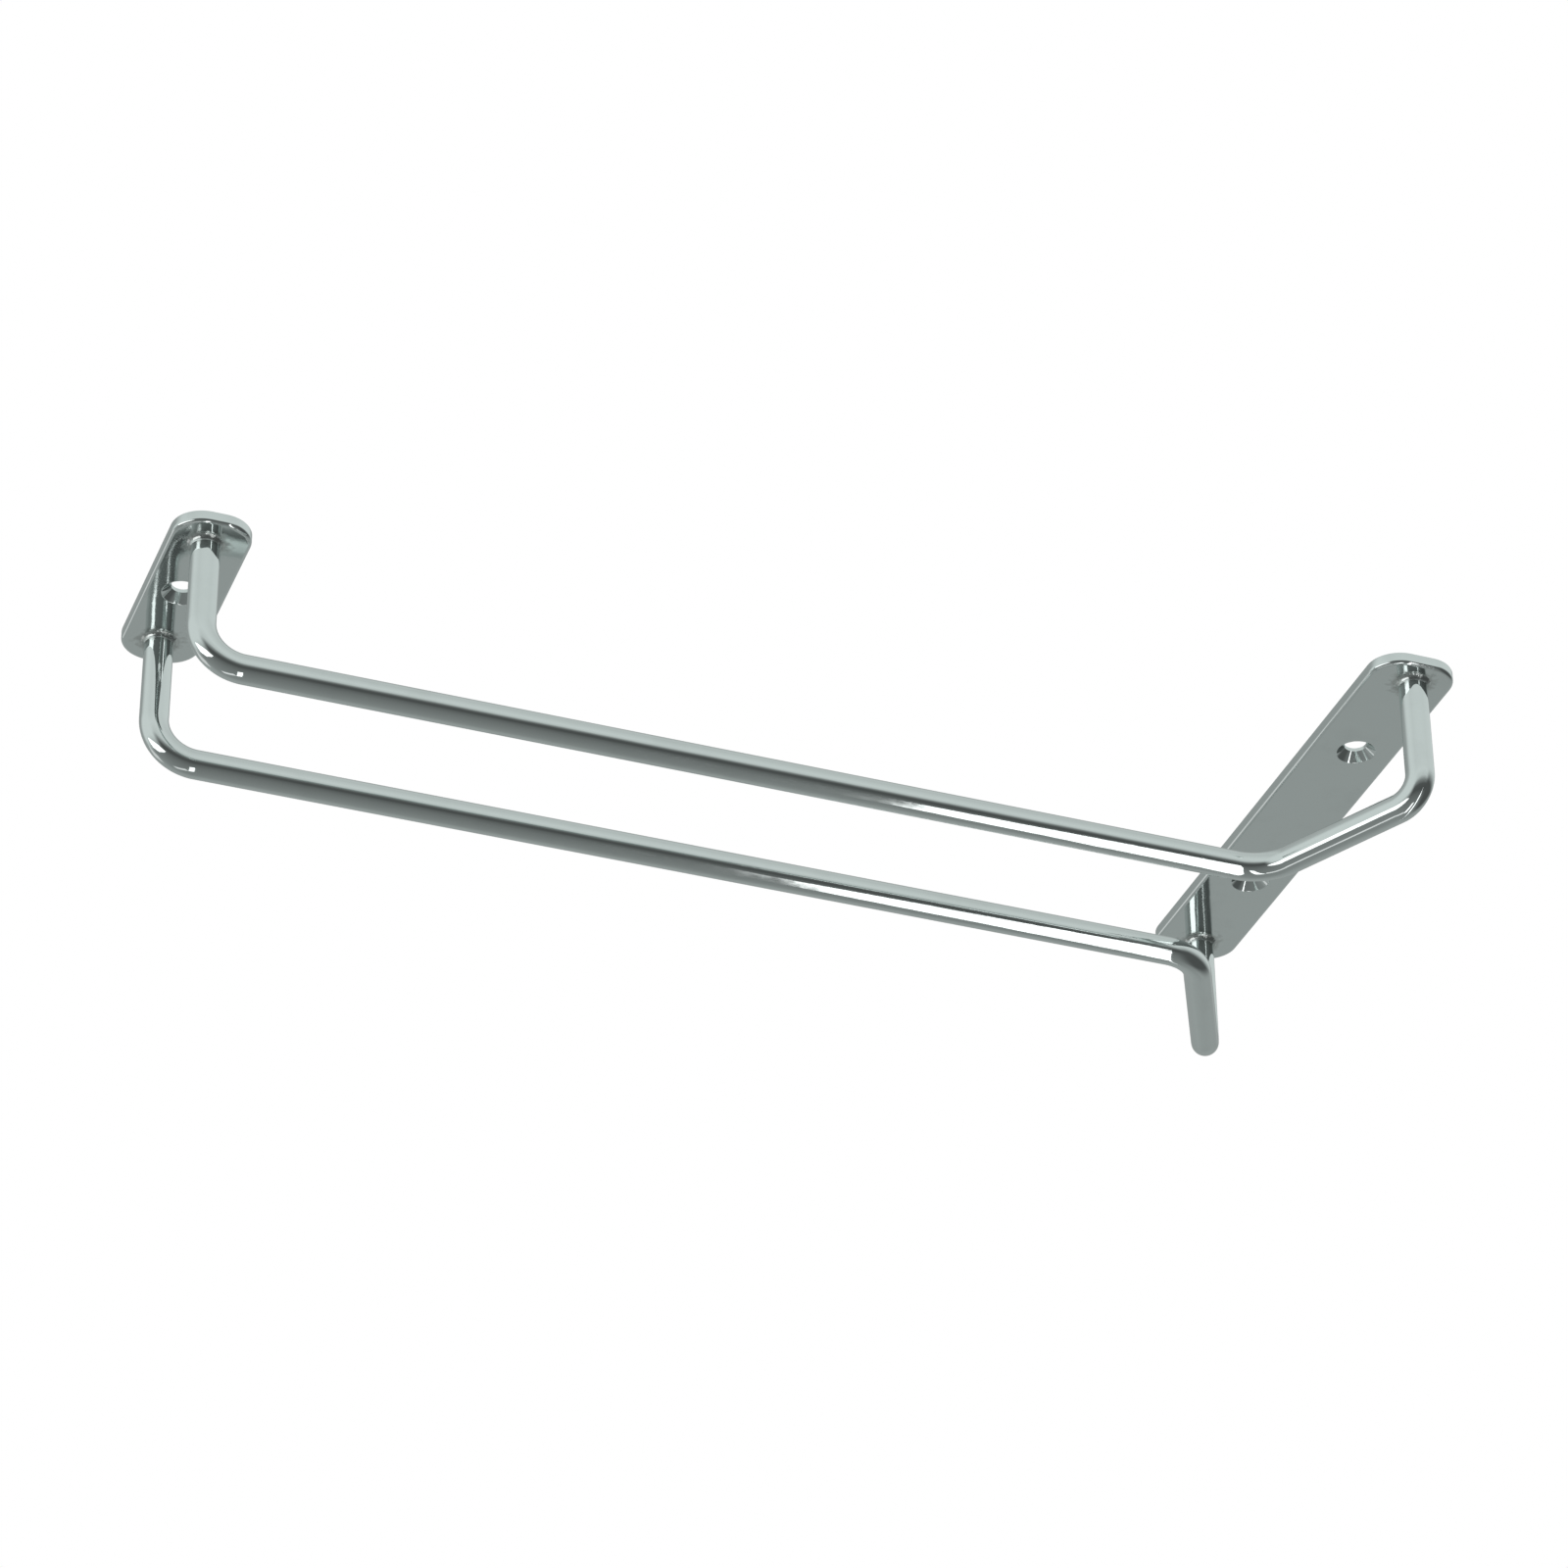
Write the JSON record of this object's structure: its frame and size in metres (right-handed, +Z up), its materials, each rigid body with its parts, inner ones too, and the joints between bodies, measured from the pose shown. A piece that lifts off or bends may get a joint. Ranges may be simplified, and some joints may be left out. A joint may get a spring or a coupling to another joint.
{
  "type": "under-shelf stemware rack",
  "caption": "Under-shelf rack for stemmed glasses: parallel bent wire rails, splayed at the open end, welded to countersunk strap plates that screw to the shelf.",
  "frame": {"origin": "on the top face of the rear plate, on the axis of its screw hole, so Z = 0 is the underside of the shelf", "axes": "+X along the rails towards the open, splayed front; +Y to the right as seen facing the open front; +Z up, towards the shelf"},
  "size_m": [0.2539, 0.1172, 0.0325],
  "materials": {
    "rod": "bright chrome plate on steel wire",
    "plate": "bright chrome plate on steel strap",
    "weld": "chrome plate over slightly uneven weld metal"
  },
  "bodies": {
    "root": {"left_rod": "rod", "right_rod": "rod", "rear_plate": "plate", "front_plate": "plate", "rear_left_weld": "weld", "rear_right_weld": "weld", "front_left_weld": "weld", "front_right_weld": "weld"}
  },
  "joints": []
}
